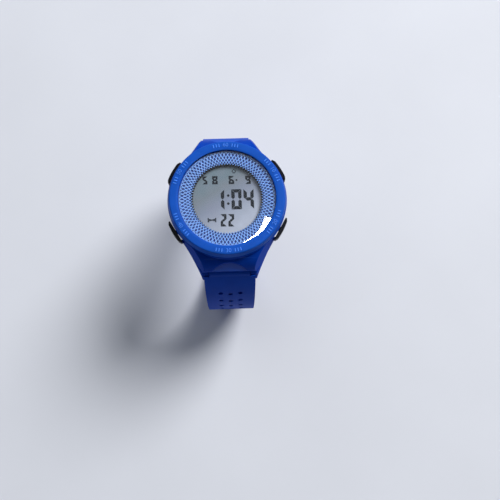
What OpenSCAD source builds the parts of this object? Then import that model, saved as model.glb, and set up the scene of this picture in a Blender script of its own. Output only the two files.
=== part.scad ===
// Round digital sports watch on a resin strap, unbuckled.
// Origin at the centre of the case back's outer face, +Z out of the dial, +Y to 12 o'clock.

/* [Case] */
// Radius of the round flank
case_r = 22.75; // [22.4:0.05:24]
// How far the flank leans in down to the back
base_step = 1.35; // [1:0.05:1.5]
// Height where the flank reaches its full radius
flank_z = 5; // [4:0.5:7]
// Height of the shoulder under the bezel
shoulder_z = 9.4; // [9:0.1:10]
// How far the neck inside the bezel is set in from the flank
neck_step = 2.15; // [2:0.05:2.3]
// Wall between that neck and the movement cavity
cavity_wall = 3.7; // [3.6:0.05:3.8]
// Radial clearance of a piece that drops into the case
seat_gap = 0.1; // [0.05:0.05:0.15]

/* [Back] */
// Thickness of the case back
back_t = 1.2; // [1:0.1:1.4]
// Rim of the case round the case back
back_rim = 1; // [0.8:0.1:1.2]
// How far the screws stand in from the case back's edge
screw_inset = 1.4; // [1.35:0.05:1.5]
// Radius of a screw's shank
screw_r = 0.7; // [0.6:0.05:0.8]
// Radius of a screw's head
screw_head_r = 1.15; // [1:0.05:1.25]
// Height of a screw's head
screw_head_t = 0.6; // [0.5:0.05:0.7]
// Length of a screw under its head
screw_len = 4; // [3:0.5:5]
// Width of a screw's driver slot
screw_slot = 0.35; // [0.25:0.05:0.45]
// Section radius of the back gasket
gasket_wire_r = 0.35; // [0.25:0.05:0.35]
// Distance of the back gasket from the cavity's wall
gasket_step = 0.65; // [0.6:0.05:0.7]

/* [Bezel and crystal] */
// How far the bezel's foot is set in from the flank
bezel_step = 0.15; // [0.05:0.05:0.4]
// How far the bezel's side leans in up to its top edge
bezel_lean = 0.8; // [0.6:0.1:1]
// Width of the rounded top edge
bezel_edge = 0.6; // [0.3:0.1:1]
// Height of the bezel's top face
bezel_z = 13.5; // [13.3:0.1:14]
// How far outside the crystal's edge the top face turns down
bezel_lip = 0.4; // [0.2:0.1:0.6]
// How far the bezel laps over the crystal's edge
bezel_lap = 0.4; // [0.35:0.05:0.6]
// Thickness of the crystal
crystal_t = 1; // [0.9:0.1:1.2]
// How far the crystal's edge is set in from the case's neck
crystal_step = 1.7; // [1.6:0.05:1.8]
// Bevel round the crystal's top
crystal_bevel = 0.25; // [0.1:0.05:0.4]
// Radial width of the crystal gasket
crystal_seal_w = 0.6; // [0.5:0.1:0.8]

/* [Dial ring and display] */
// Width of the dial ring, from its rim to its window
ring_w = 5.5; // [5:0.1:5.6]
// Height of the dial ring
ring_h = 2.25; // [2:0.05:2.4]
// Depth of the patterned face below the ring's rim
ring_sink = 0.1; // [0.05:0.05:0.3]
// Width of that rim
ring_rim = 0.15; // [0.1:0.05:0.5]
// Fall of the patterned face towards the window
ring_fall = 0.3; // [0.2:0.05:0.5]
// Number of teeth round the window
window_teeth = 80; // [60:1:90]
// Radius of each notch between the teeth
tooth_r = 0.3; // [0.2:0.05:0.35]
// Margin between the square display glass and the cavity's wall
lcd_margin = 3.4; // [3.3:0.05:3.6]
// Cut across each corner of the display glass
lcd_corner = 5.6; // [5.4:0.1:6]
// Thickness of the display glass
lcd_t = 1.6; // [1.4:0.1:1.8]
// Border of the display glass round the backlight panel
backlight_border = 3.5; // [3.3:0.1:4.5]
// Thickness of the backlight panel
backlight_t = 0.4; // [0.3:0.1:0.6]

/* [Movement] */
// Radial clearance of the movement in its cavity
frame_gap = 0.3; // [0.2:0.05:0.4]
// Height of the elastomer connectors
zebra_h = 2.4; // [2.2:0.1:2.6]
// Wall of the movement outside a connector's ends
zebra_wall = 0.6; // [0.4:0.1:1]
// Thickness of a connector
zebra_t = 1.5; // [1.2:0.1:1.6]
// Distance of a connector's middle from the edge of the display glass
zebra_inset = 1.9; // [1.7:0.1:2.1]
// Rim of the movement round the circuit board
board_rim = 2.2; // [2.1:0.1:2.4]
// Thickness of the circuit board
board_t = 0.8; // [0.6:0.1:1]
// Radius of the sealed chip
chip_r = 4; // [3:0.5:4.5]
// Height of the sealed chip
chip_h = 1; // [0.8:0.1:1.2]
// Radius of the button cell
cell_r = 10; // [9.5:0.1:10.2]
// Thickness of the button cell
cell_t = 2.5; // [2.3:0.1:2.5]
// Thickness of the cell's clip
clip_t = 0.25; // [0.2:0.05:0.3]
// Width of the cell's clip
clip_w = 5; // [4:0.5:6]
// How far the clip reaches past the cell at each end
clip_reach = 3.2; // [3:0.1:3.4]
// Radius of the holes in the clip's ends
clip_hole_r = 0.5; // [0.4:0.05:0.6]
// Distance of those holes from the clip's ends
clip_hole_in = 1.2; // [1:0.1:1.4]
// Radius of the crystal oscillator's can
can_r = 0.95; // [0.8:0.05:1]
// Length of the crystal oscillator's can
can_len = 6; // [5:0.5:7]
// Distance of the can's middle from the cell's edge
can_step = 2.2; // [2:0.1:2.4]
// Radius of the buzzer disc
buzzer_r = 8; // [6:0.5:9]
// Thickness of the buzzer disc
buzzer_t = 0.3; // [0.2:0.05:0.4]
// Rim of the buzzer disc outside the middle of its contact spring
contact_rim = 1.2; // [1:0.1:1.5]
// Mean radius of the contact spring
contact_r = 0.8; // [0.7:0.05:0.9]
// Height between the case back and the movement
back_space = 0.75; // [0.7:0.05:0.85]

/* [Buttons] */
// Angle of the buttons above and below 3 and 9 o'clock
button_angle = 30; // [29:0.5:31]
// Length of a button along the flank
button_len = 9.4; // [8.6:0.1:9.6]
// Height of a button
button_h = 3.8; // [3.4:0.1:4]
// Height of the buttons' centre line
button_z = 6; // [5.9:0.05:6.1]
// How far the buttons stand out past the flank
button_proud = 1.55; // [1.45:0.05:1.8]
// Thickness of a button's head
button_t = 1.45; // [1.35:0.05:1.5]
// Chamfer at a button's ends
button_chamfer = 0.9; // [0.5:0.1:1.2]
// Travel of a button
button_travel = 0.8; // [0.6:0.05:0.85]
// Radius of a button's shaft
shaft_r = 0.9; // [0.8:0.05:0.95]
// Radial running clearance of the shaft
shaft_gap = 0.05; // [0.03:0.01:0.08]
// Clearance round a button's head
button_gap = 0.3; // [0.2:0.05:0.35]
// Outer radius of the shaft's retaining clip
clip_r = 1.7; // [1.5:0.05:1.75]
// Mean radius of the return spring
spring_r = 1.3; // [1.25:0.05:1.35]
// Radius of the spring wire
wire_r = 0.13; // [0.1:0.01:0.15]
// Turns of the return spring
spring_turns = 3; // [2:1:3]

/* [Lugs] */
// Half the width across the lug roots
root_half_w = 17; // [16.8:0.1:17.2]
// How far the lug roots are set in from the flank's end
root_in = 6.85; // [6.7:0.05:7]
// Half the width where the strap narrows
neck_half_w = 10.5; // [10.3:0.05:10.8]
// How far that point stands out past the flank
neck_out = 6.2; // [6.1:0.05:6.4]
// Radius of the hollow sides from the root to that point
flare_r = 80; // [60:5:200]
// Half the width between the flat flanks at the hood's edge, level with the case's back
flank_half_w = 10.5; // [10.3:0.05:10.8]
// Angle of the flat flanks, seen from above, to the watch's length
flank_angle = 37.5; // [36:0.5:39]
// Inward lean of the flat flanks
flank_lean = 15.5; // [14:0.5:17]
// How far the hood's edge stands out past the flank
hood_out = 3.7; // [3.6:0.05:3.75]
// Height of the hood's edge
hood_z = 1.85; // [1.8:0.05:2]
// Radius of the hood's rounded back
hood_r = 10.5; // [10:0.1:11]
// How far below the back the centre of that round lies
hood_drop = 1.5; // [1.3:0.1:1.7]
// Length of the facet from the hood's edge to its arched edge
facet_len = 2.75; // [2.4:0.05:3]
// Half the width of the facet at the hood's edge
facet_half_w = 6.8; // [6:0.1:7.5]
// Slope of the facet in degrees
facet_slope = 34; // [28:1:36]
// How far the spring bar stands out past the flank
bar_out = 1.95; // [1.9:0.05:2.05]
// Height of the spring bar
bar_z = -3.1; // [-3.2:0.05:-3]
// Radius of a lug about its spring bar
lug_r = 2.8; // [2.7:0.05:2.85]
// Distance between the lugs
lug_span = 16.4; // [16:0.1:16.8]

/* [Spring bars] */
// Radius of a spring bar's tube
bar_r = 0.9; // [0.8:0.05:1]
// Radius of a spring bar's tips
tip_r = 0.45; // [0.4:0.05:0.5]
// Length of a tip inside its lug
tip_len = 1.2; // [1:0.1:1.5]
// Radial running clearance of the strap on its bar
bar_gap = 0.05; // [0.03:0.01:0.08]

/* [Strap] */
// Thickness of the strap
strap_t = 3.2; // [2.8:0.1:3.4]
// Clearance between the strap's head and the case
head_gap = 0.2; // [0.15:0.05:0.3]
// How far the round head swells past the strap's outer face
head_swell = 0.2; // [0.15:0.05:0.3]
// Angle along the strap's curve by which its cheeks end short of the hood
cheek_short = 1.4; // [1.2:0.1:1.6]
// How far the strap's ears stand out past the hood's edge at their tops
ear_out = 0.5; // [0.3:0.1:0.7]
// How far further out they reach at their feet
ear_lean = 1.55; // [1.3:0.05:1.7]
// Height of the ears' feet
ear_z = -6.5; // [-7:0.1:-6]
// Radius of the strap's barrel round its bar
barrel_r = 2.9; // [2.8:0.05:3]
// Radius of the outer face beside the wrist
side_r = 55.1; // [54.5:0.1:55.5]
// Height of the strap's widest point
side_z = -33.8; // [-34:0.1:-33.5]
// How far the strap's widest point stands out past the flank
side_out = 15.1; // [15:0.05:15.3]
// Half the width of the long piece past its neck
long_half_w = 10.2; // [10:0.05:10.3]
// Half the width of the short piece past its neck
short_half_w = 9.3; // [9.1:0.05:9.6]
// Half the width of the strap from its widest point on
tail_half_w = 9.6; // [9.4:0.1:9.8]
// Radius of the outer face under the wrist, long piece
long_r = 34; // [33.5:0.1:34.5]
// Sweep of that face in degrees
long_sweep = 90; // [88:0.5:90]
// Radius of the tail's rounded tip
tail_tip_r = 12; // [11:0.5:14]
// Radius of the outer face under the wrist, short piece
short_r = 36.8; // [36.3:0.1:37.3]
// Sweep of that face in degrees
short_sweep = 52; // [50:0.5:54]
// How far the short piece is folded in at its bar, in degrees
short_fold = 6.7; // [6:0.1:7.2]
// Radius of a hole
hole_r = 0.95; // [0.8:0.05:1.1]
// Distance between the columns of holes
hole_col = 4; // [3.5:0.1:4.4]
// Distance between the rows of holes
hole_pitch = 6.6; // [6:0.1:6.8]
// How far the middle hole of a row is set towards the tail
hole_stagger = 0.8; // [0:0.1:1.2]
// Length along the strap from its widest point back to the first row
hole_start = 22; // [21.5:0.1:22.5]
// Number of rows of holes
hole_rows = 11; // [3:1:11]

/* [Buckle] */
// Radius of the strap's end round the buckle pin
end_r = 2.2; // [2:0.05:2.3]
// Radius of the buckle pin
pin_r = 0.75; // [0.7:0.05:0.8]
// Length of the frame from the pin to its far face
buckle_len = 14; // [13:0.1:14.2]
// Half the width inside the frame
buckle_half_w = 10; // [9.9:0.05:10.2]
// Width of the frame's bars
buckle_bar = 2.4; // [2.2:0.1:2.6]
// Thickness of the frame
buckle_t = 2.2; // [2:0.1:2.4]
// Corner radius of the frame
buckle_corner = 3; // [2:0.1:3.5]
// How far the frame turns in past the strap's end, in degrees
buckle_turn = 12; // [10:0.5:14]
// Width of the tongue
tongue_w = 2; // [1.8:0.1:2.2]
// Thickness of the tongue
tongue_t = 1.1; // [1:0.05:1.2]
// Length of the keeper along the strap
keeper_w = 6; // [5:0.5:7]
// Thickness of the keeper's band
keeper_t = 1.4; // [1.2:0.1:1.6]
// Clearance of the keeper round the strap
keeper_gap = 0.3; // [0.3:0.05:0.4]
// Angle of the keeper along the short piece, from the widest point
keeper_angle = 30; // [26:1:34]

/* [Hidden] */
$fn = 96;
eps = 0.01;
BUTTONS = [["upper_right", button_angle], ["lower_right", -button_angle],
           ["lower_left", 180 + button_angle], ["upper_left", 180 - button_angle]];

// Radii from the flank inwards
base_r = case_r - base_step;
neck_r = case_r - neck_step;
cavity_r = neck_r - cavity_wall;
back_r = base_r - back_rim;
screw_pcd_r = back_r - screw_inset;
gasket_ring_r = cavity_r + gasket_step;
bezel_foot_r = case_r - bezel_step;
bezel_top_r = bezel_foot_r - bezel_lean;
crystal_r = neck_r - crystal_step;
bezel_lip_r = crystal_r + bezel_lip;
bezel_open_r = crystal_r - bezel_lap;
ring_r = bezel_open_r - seat_gap;
window_r = ring_r - ring_w;
seal_r = crystal_r + crystal_seal_w;
button_out_r = case_r + button_proud;

// Sizes inside the cavity
lcd_side = 2 * (cavity_r - lcd_margin);
backlight_side = lcd_side - 2 * backlight_border;
frame_r = cavity_r - frame_gap;
zebra_y = lcd_side / 2 - zebra_inset;
zebra_len = 2 * sqrt((frame_r - zebra_wall) ^ 2 - (zebra_y + zebra_t / 2) ^ 2);
board_r = frame_r - board_rim;
clip_half = cell_r + clip_reach;
can_y = cell_r + can_step;
contact_y = (cell_r + board_r) / 2;
buzzer_y = contact_y + contact_rim - buzzer_r;

// Distances of the lugs and the strap from the middle
root_y = case_r - root_in;
neck_y = case_r + neck_out;
hood_y = case_r + hood_out;
facet_y = hood_y - facet_len;
bar_y = case_r + bar_out;
side_y = case_r + side_out;

// Heights of the stack inside the case, from the back up
stack_gap = 0.05;
holder_z = back_t + back_space;
cell_z = holder_z + clip_t + stack_gap;
board_z = cell_z + cell_t + stack_gap;
frame_z = board_z + board_t;
lcd_z = frame_z + zebra_h;
ledge_z = lcd_z + lcd_t + stack_gap;
crystal_z = ledge_z + ring_h + stack_gap;
crystal_top = crystal_z + crystal_t;
neck_top = crystal_top - 0.2;

// Radii along a button's shaft, from the pocket floor in
pocket_r = button_out_r - button_t - button_travel - 0.15;
pocket_h = button_h + 2 * button_gap;
spring_seat_r = pocket_r - 1.4;
seal_seat_r = spring_seat_r - 1.5;
retainer_t = 0.3;
retainer_r = cavity_r - retainer_t - stack_gap;
shaft_in_r = retainer_r - 0.75;
contact_in_r = shaft_in_r - button_travel - 0.15;

// Circles of the strap's side view
side_c = [side_y - side_r, side_z];
long_c = [side_y - long_r, side_z];
short_c = [side_y - short_r, side_z];
floor_z = side_z - long_r;
pin_c = short_c + (short_r - strap_t / 2) * [cos(short_sweep), -sin(short_sweep)];

// The strap's head is round about its bar and a little proud of its outer face
bar_c = [bar_y, bar_z];
head_r = side_r - norm(bar_c - side_c) + head_swell;
head_angle = atan2(bar_z - side_z, bar_y - side_c[0]);
pocket_round_r = head_r + head_gap;
facet_r = (facet_half_w ^ 2 + (hood_y - facet_y) ^ 2) / (2 * (hood_y - facet_y));

// Centre of the circle of radius r through two points, on the right of the way from a to b
function arc_centre(a, b, r) =
    let (m = (a + b) / 2, d = b - a, h = norm(d) / 2)
    m + [d[1], -d[0]] / norm(d) * sqrt(r * r - h * h);
flare_c = arc_centre([root_half_w, root_y], [neck_half_w, neck_y], flare_r);

// Turns a side view drawn in (y, z) into a slab across X, from x0 to x1
module across(x0, x1) {
    rotate([90, 0, 90]) translate([0, 0, x0]) linear_extrude(x1 - x0) children();
}

// Places children with their +Z pointing out along a button's shaft, at radius r
module along_shaft(angle, r) {
    rotate([0, 0, angle]) translate([r, 0, button_z]) rotate([0, 90, 0]) children();
}

module both_sides() {
    children();
    mirror([1, 0, 0]) children();
}

module both_ends() {
    children();
    mirror([0, 1, 0]) children();
}

module ring(r_out, r_in, h) {
    difference() {
        cylinder(r = r_out, h = h);
        translate([0, 0, -1]) cylinder(r = r_in, h = h + 2);
    }
}

// Outline seen from above, of the lugs and the strap's neck at the 12 o'clock end
module flare_outline(y0, y1) {
    difference() {
        translate([-20, y0]) square([40, y1 - y0]);
        both_sides() translate(flare_c) circle(r = flare_r);
    }
}

// The space between those hollow sides and the flat, leaning flanks that cut their tops
module flare(y0, z0, z1) {
    difference() {
        translate([0, 0, z0]) linear_extrude(z1 - z0) flare_outline(y0, neck_y);
        both_sides() translate([flank_half_w, hood_y, 0]) rotate([0, -flank_lean, flank_angle])
            translate([0, -40, -30]) cube([20, 80, 60]);
    }
}

// Coil wound about +Z from z = 0, one unbroken tube of six sides
module coil(r, wire, height, turns) {
    rings = 8 * turns;
    sides = 6;
    pts = [for (i = [0 : rings]) let (a = 45 * i, z = wire + (height - 2 * wire) * i / rings)
        for (k = [0 : sides - 1]) let (b = 360 * k / sides, q = r + wire * cos(b))
            [q * cos(a), q * sin(a), z + wire * sin(b)]];
    walls = [for (i = [0 : rings - 1]) for (k = [0 : sides - 1])
        let (p = i * sides + k, q = i * sides + (k + 1) % sides)
            each [[p, q, q + sides], [p, q + sides, p + sides]]];
    start = [for (k = [1 : sides - 2]) [0, k + 1, k]];
    e = rings * sides;
    end = [for (k = [1 : sides - 2]) [e, e + k, e + k + 1]];
    polyhedron(points = pts, faces = concat(walls, start, end), convexity = 6);
}

// Case

module case_tub() {
    rotate_extrude() polygon([[0, 0], [base_r, 0], [case_r, flank_z], [case_r, shoulder_z],
                              [neck_r, shoulder_z], [neck_r, neck_top], [0, neck_top]]);
}

// Rounded back of the hood over the strap's head, from the side
module hood_side() {
    hood_c = [hood_y - sqrt(hood_r ^ 2 - (hood_z + hood_drop) ^ 2), -hood_drop];
    difference() {
        intersection() {
            translate(hood_c) circle(r = hood_r);
            translate([root_y - 2, 0]) square([hood_y - root_y + 2, shoulder_z]);
        }
        translate([bar_y, bar_z]) circle(r = pocket_round_r);
    }
}

// A lug from the side: its round tip and the web that carries it
module lug_side() {
    centre = [bar_y, bar_z];
    translate(centre) circle(r = lug_r);
    polygon([centre, centre + lug_r * [cos(118), sin(118)],
             centre + (pocket_round_r + 0.4) * [cos(120), sin(120)],
             [root_y + 2, holder_z], [root_y + 2, 0.3], [root_y + 3.3, 0],
             centre + lug_r * [cos(235), sin(235)]]);
}

module lug_end() {
    intersection() {
        union() {
            across(-20, 20) hood_side();
            both_sides() across(lug_span / 2, 20) lug_side();
        }
        flare(root_y - 2, bar_z - 4, shoulder_z);
    }
}

// Flat facet at the hood's edge, scooped by an upright round cutter
module facet_cut() {
    intersection() {
        translate([0, facet_y + facet_r, 0]) cylinder(r = facet_r, h = shoulder_z + 2);
        translate([0, hood_y, hood_z]) rotate([-facet_slope, 0, 0])
            translate([-20, -20, 0]) cube([40, 40, 20]);
    }
}

module button_bore(angle) {
    along_shaft(angle, cavity_r - 2) cylinder(r = shaft_r + shaft_gap, h = 10);
    along_shaft(angle, spring_seat_r) cylinder(r = spring_r + wire_r + 0.25, h = 5);
    along_shaft(angle, seal_seat_r) cylinder(r = shaft_r + 0.65, h = 0.65);
    rotate([0, 0, angle]) translate([pocket_r, -button_len / 2 - button_gap, button_z - pocket_h / 2])
        cube([8, button_len + 2 * button_gap, pocket_h]);
}

module case_body() {
    color("royalblue") difference() {
        union() {
            case_tub();
            both_ends() lug_end();
        }
        both_ends() facet_cut();
        translate([0, 0, -1]) cylinder(r = cavity_r, h = ledge_z + 1);
        translate([0, 0, -1]) cylinder(r = back_r + seat_gap, h = back_t + 1);
        translate([0, 0, ledge_z - eps]) cylinder(r = ring_r + seat_gap, h = 10);
        translate([0, 0, crystal_z]) cylinder(r = seal_r, h = 10);
        rotate_extrude() translate([gasket_ring_r - gasket_wire_r - 0.05, back_t - eps])
            square([2 * gasket_wire_r + 0.1, 2 * gasket_wire_r + 0.05]);
        for (a = [45 : 90 : 315]) rotate([0, 0, a]) translate([screw_pcd_r, 0, back_t - eps])
            cylinder(r = screw_r + 0.05, h = screw_len - back_t + screw_head_t + 0.5);
        for (b = BUTTONS) button_bore(b[1]);
        both_ends() across(-lug_span / 2 - tip_len - 0.3, lug_span / 2 + tip_len + 0.3)
            translate([bar_y, bar_z]) circle(r = tip_r + bar_gap);
    }
}

module bezel_ring() {
    color("dodgerblue") rotate_extrude() polygon([
        [neck_r + seat_gap, shoulder_z], [bezel_foot_r, shoulder_z],
        [bezel_top_r, bezel_z - bezel_edge], [bezel_top_r - 0.3 * bezel_edge, bezel_z - 0.3 * bezel_edge],
        [bezel_top_r - bezel_edge, bezel_z], [bezel_lip_r, bezel_z],
        [bezel_open_r, crystal_top + stack_gap + 0.15], [bezel_open_r, crystal_top + stack_gap],
        [neck_r + seat_gap, crystal_top + stack_gap]]);
}

module crystal() {
    color("white", 0.3) rotate_extrude() polygon([
        [0, crystal_z], [crystal_r, crystal_z], [crystal_r, crystal_top - crystal_bevel],
        [crystal_r - crystal_bevel, crystal_top], [0, crystal_top]]);
}

module crystal_gasket() {
    color("black") translate([0, 0, crystal_z]) ring(seal_r - 0.02, crystal_r + 0.02, crystal_t - 0.25);
}

// Dial ring with a sloping face and notches between fine teeth round its window
module dial_ring() {
    color("lightsteelblue") difference() {
        rotate_extrude() polygon([
            [window_r, ledge_z], [ring_r, ledge_z], [ring_r, ledge_z + ring_h],
            [ring_r - ring_rim, ledge_z + ring_h], [ring_r - ring_rim, ledge_z + ring_h - ring_sink],
            [window_r, ledge_z + ring_h - ring_sink - ring_fall]]);
        for (i = [0 : window_teeth - 1]) rotate([0, 0, 360 * i / window_teeth])
            translate([window_r, 0, ledge_z - 1]) cylinder(r = tooth_r, h = ring_h + 2, $fn = 6);
    }
}

// Display and movement

module cut_square(side, corner) {
    c = side / 2;
    d = side / 2 - corner;
    polygon([[c, -d], [c, d], [d, c], [-d, c], [-c, d], [-c, -d], [-d, -c], [d, -c]]);
}

module lcd_panel() {
    color("darkgray") translate([0, 0, lcd_z]) linear_extrude(lcd_t) cut_square(lcd_side, lcd_corner);
}

module backlight_panel() {
    color("mintcream") translate([0, 0, lcd_z - stack_gap - backlight_t / 2])
        cube([backlight_side, backlight_side, backlight_t], center = true);
}

module zebra_connectors() {
    color("dimgray") both_ends() translate([0, zebra_y, frame_z + zebra_h / 2])
        cube([zebra_len, zebra_t, zebra_h], center = true);
}

// Notches that let the shafts, their clips and the switch blades in
module shaft_notches() {
    for (b = BUTTONS) {
        along_shaft(b[1], contact_in_r + 0.15) cylinder(r = clip_r + 0.3, h = 5);
        rotate([0, 0, b[1]]) translate([contact_in_r - 2.1, -1.7, board_z - 1])
            cube([2.4, 3.4, button_z - board_z + 2.2]);
    }
}

module module_frame() {
    color("whitesmoke") difference() {
        translate([0, 0, frame_z]) cylinder(r = frame_r, h = lcd_z + lcd_t - frame_z);
        translate([0, 0, lcd_z - eps]) linear_extrude(lcd_t + 1)
            cut_square(lcd_side + 2 * seat_gap, lcd_corner);
        translate([0, 0, lcd_z - stack_gap - backlight_t / 2])
            cube([backlight_side + 0.2, backlight_side + 0.2, backlight_t + 0.1], center = true);
        both_ends() translate([0, zebra_y, frame_z + zebra_h / 2])
            cube([zebra_len + 0.2, zebra_t + 0.2, zebra_h + 0.2], center = true);
        translate([0, 0, frame_z - eps]) cylinder(r = chip_r + 0.4, h = chip_h + 0.3);
        shaft_notches();
    }
}

module circuit_board() {
    color("seagreen") translate([0, 0, board_z]) difference() {
        cylinder(r = board_r, h = board_t);
        translate([0, -contact_y, -1]) cylinder(r = 0.4, h = 3);
    }
}

// Resin dome over the chip
module chip_blob() {
    dome_r = (chip_r ^ 2 + chip_h ^ 2) / (2 * chip_h);
    color("black") intersection() {
        translate([0, 0, frame_z + chip_h - dome_r]) sphere(r = dome_r);
        translate([0, 0, frame_z]) cylinder(r = chip_r + 1, h = chip_h + 1);
    }
}

// Four bent blades that the shafts press
module switch_contacts() {
    color("gold") for (b = BUTTONS) rotate([0, 0, b[1]]) {
        translate([contact_in_r - 0.2, -1.4, frame_z]) cube([0.2, 2.8, button_z + 0.9 - frame_z]);
        translate([contact_in_r - 1.6, -1.4, frame_z]) cube([1.5, 2.8, 0.2]);
    }
}

module quartz_can() {
    color("silver") translate([-can_len / 2, can_y, board_z - can_r - 0.02]) rotate([0, 90, 0])
        cylinder(r = can_r, h = can_len);
}

module battery() {
    color("silver") translate([0, 0, cell_z]) {
        cylinder(r = cell_r, h = cell_t - 0.5);
        cylinder(r = cell_r - 1, h = cell_t);
    }
}

module battery_clip() {
    color("gainsboro") translate([0, 0, holder_z]) difference() {
        translate([-clip_half, -clip_w / 2, 0]) cube([2 * clip_half, clip_w, clip_t]);
        both_sides() translate([clip_half - clip_hole_in, 0, -1]) cylinder(r = clip_hole_r, h = 3);
    }
}

module battery_holder() {
    color("lightgray") difference() {
        translate([0, 0, holder_z]) cylinder(r = frame_r, h = board_z - stack_gap - holder_z);
        translate([0, 0, holder_z - 1]) cylinder(r = cell_r + 0.15, h = 10);
        translate([-clip_half - 0.15, -clip_w / 2 - 0.15, holder_z - 1])
            cube([2 * clip_half + 0.3, clip_w + 0.3, clip_t + 1]);
        translate([0, can_y, board_z]) cube([can_len + 0.4, 2 * can_r + 0.3, 4 * can_r + 0.2], center = true);
        translate([0, -contact_y, holder_z - 1]) cylinder(r = contact_r + wire_r + 0.2, h = 10);
        shaft_notches();
    }
}

module buzzer_disc() {
    color("goldenrod") translate([0, -buzzer_y, back_t]) cylinder(r = buzzer_r, h = buzzer_t);
}

module buzzer_spring() {
    color("silver") translate([0, -contact_y, back_t + buzzer_t])
        coil(contact_r, wire_r, board_z - back_t - buzzer_t, 4);
}

// Back

module case_back() {
    color("silver") difference() {
        cylinder(r = back_r, h = back_t);
        for (a = [45 : 90 : 315]) rotate([0, 0, a]) translate([screw_pcd_r, 0, -1]) {
            cylinder(r = screw_r + 0.1, h = 4);
            cylinder(r = screw_head_r + 0.1, h = 1 + screw_head_t + 0.05);
        }
    }
}

module case_back_gasket() {
    color("black") rotate_extrude() translate([gasket_ring_r, back_t + gasket_wire_r + 0.02])
        circle(r = gasket_wire_r);
}

module case_back_screws() {
    color("silver") for (a = [45 : 90 : 315]) rotate([0, 0, a])
        translate([screw_pcd_r, 0, 0.05]) difference() {
            union() {
                cylinder(r = screw_head_r, h = screw_head_t);
                cylinder(r = screw_r, h = screw_head_t + screw_len);
            }
            translate([-3, -screw_slot / 2, -1]) cube([6, screw_slot, 1.3]);
        }
}

// Buttons

module button(angle) {
    foot_r = button_out_r - button_t;
    color("black") rotate([0, 0, angle]) {
        intersection() {
            translate([0, 0, button_z - button_h / 2]) difference() {
                cylinder(r = button_out_r, h = button_h);
                translate([-40, -20, -1]) cube([40 + foot_r, 40, button_h + 2]);
            }
            translate([0, 0, button_z - button_h / 2]) linear_extrude(button_h) polygon([
                [foot_r, -button_len / 2], [button_out_r - button_chamfer, -button_len / 2],
                [button_out_r + 0.1, -button_len / 2 + button_chamfer + 0.8],
                [button_out_r + 0.1, button_len / 2 - button_chamfer - 0.8],
                [button_out_r - button_chamfer, button_len / 2], [foot_r, button_len / 2]]);
        }
        difference() {
            translate([shaft_in_r, 0, button_z]) rotate([0, 90, 0])
                cylinder(r = shaft_r, h = foot_r - shaft_in_r + 0.2);
            translate([retainer_r, 0, button_z]) rotate([0, 90, 0]) ring(3, shaft_r - 0.3, retainer_t);
        }
    }
}

// Split clip that snaps into the groove of a shaft
module shaft_clip(angle) {
    color("silver") along_shaft(angle, retainer_r) difference() {
        ring(clip_r, shaft_r - 0.25, retainer_t - 0.02);
        translate([0, -0.5, -1]) cube([4, 1, 3]);
    }
}

module button_springs() {
    color("silver") for (b = BUTTONS) along_shaft(b[1], spring_seat_r)
        coil(spring_r, wire_r, pocket_r + 0.1 - spring_seat_r, spring_turns);
}

module button_seals() {
    color("black") for (b = BUTTONS) along_shaft(b[1], seal_seat_r + 0.32)
        rotate_extrude() translate([shaft_r + 0.33, 0]) circle(r = 0.3);
}

// Strap

// Ring sector from the side, from angle a0 up to angle a1 about its centre
module sector(centre, r_out, r_in, a0, a1) {
    reach = 2 * r_out;
    translate(centre) intersection() {
        difference() {
            circle(r = r_out);
            circle(r = r_in);
        }
        polygon([[0, 0], reach * [cos(a0), sin(a0)], reach * [cos((a0 + a1) / 2), sin((a0 + a1) / 2)],
                 reach * [cos(a1), sin(a1)]]);
    }
}

// Barrel round the bar and the gusset under it, from the side
module gusset_side() {
    translate(bar_c) circle(r = barrel_r);
    polygon([bar_c, bar_c + [0, -barrel_r], bar_c + [2.9, -6.1], bar_c + [5.5, -7.5],
             bar_c + [6.3, -4.4], bar_c + head_r * [cos(-20), sin(-20)]]);
}

// Head of the strap: a crown under the hood between the lugs, cheeks that clear their tips
module strap_head() {
    across(-lug_span / 2 + head_gap, lug_span / 2 - head_gap) {
        sector(bar_c, head_r, 0.1, -10, 80);
        gusset_side();
        sector(side_c, side_r, side_r - strap_t, 0, head_angle);
    }
    across(-20, 20) difference() {
        union() {
            gusset_side();
            sector(side_c, side_r, side_r - strap_t, 0, head_angle - cheek_short);
        }
        translate(bar_c) circle(r = lug_r + head_gap + 0.05);
    }
}

// Ears of the strap's head from the side: they end short of the strap's outer face
module ear_side() {
    polygon([[root_y, 5], [hood_y + ear_out, 5], [hood_y + ear_out, -1],
             [hood_y + ear_out + ear_lean, ear_z], [hood_y + ear_out, bar_z - 10], [root_y, bar_z - 10]]);
}

// Width of a strap piece: flared at its neck, then tapered, then even
module strap_width(half_w) {
    intersection() {
        flare(root_y, bar_z - 10, bar_z + 10);
        across(-20, 20) ear_side();
    }
    rotate([90, 0, 0]) translate([0, 0, -60]) linear_extrude(60 + neck_y) polygon([
        [half_w, 0], [tail_half_w, side_z], [tail_half_w, -80],
        [-tail_half_w, -80], [-tail_half_w, side_z], [-half_w, 0]]);
}

module bar_hole() {
    across(-20, 20) translate([bar_y, bar_z]) circle(r = bar_r + bar_gap);
}

// Row i of the holes: past the widest point the strap bends tighter
module hole_row(i) {
    for (col = [-1 : 1]) {
        s = i * hole_pitch - hole_start + (col == 0 ? hole_stagger : 0);
        c = s < 0 ? side_c : long_c;
        r = s < 0 ? side_r : long_r;
        translate([col * hole_col, c[0], c[1]]) rotate([-s / r * 180 / PI, 0, 0])
            translate([0, r + 2, 0]) rotate([90, 0, 0]) cylinder(r = hole_r, h = strap_t + 4);
    }
}

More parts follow.
